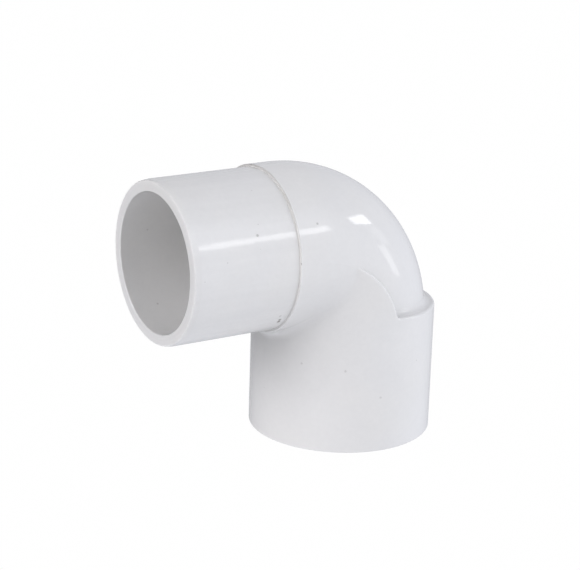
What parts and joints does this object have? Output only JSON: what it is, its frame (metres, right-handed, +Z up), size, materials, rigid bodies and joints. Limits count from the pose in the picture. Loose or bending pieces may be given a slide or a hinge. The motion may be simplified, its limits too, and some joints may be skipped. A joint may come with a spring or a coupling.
{
  "type": "pvc elbow fitting",
  "caption": "White PVC street elbow turning pressure pipe through a right angle, with a plain spigot on one side and a solvent-weld socket below.",
  "frame": {"origin": "centre of the socket's mouth, on the socket's axis, where the fitting stands", "axes": "+Z up the socket's axis to the bend; -X the way the spigot points; +Y completes a right-handed set, and the XZ plane is the plane of symmetry"},
  "size_m": [0.0969, 0.0578, 0.0874],
  "materials": {
    "pvc_white": "smooth moulded, semi-gloss"
  },
  "bodies": {
    "root": {"elbow_body": "pvc_white"}
  },
  "joints": []
}
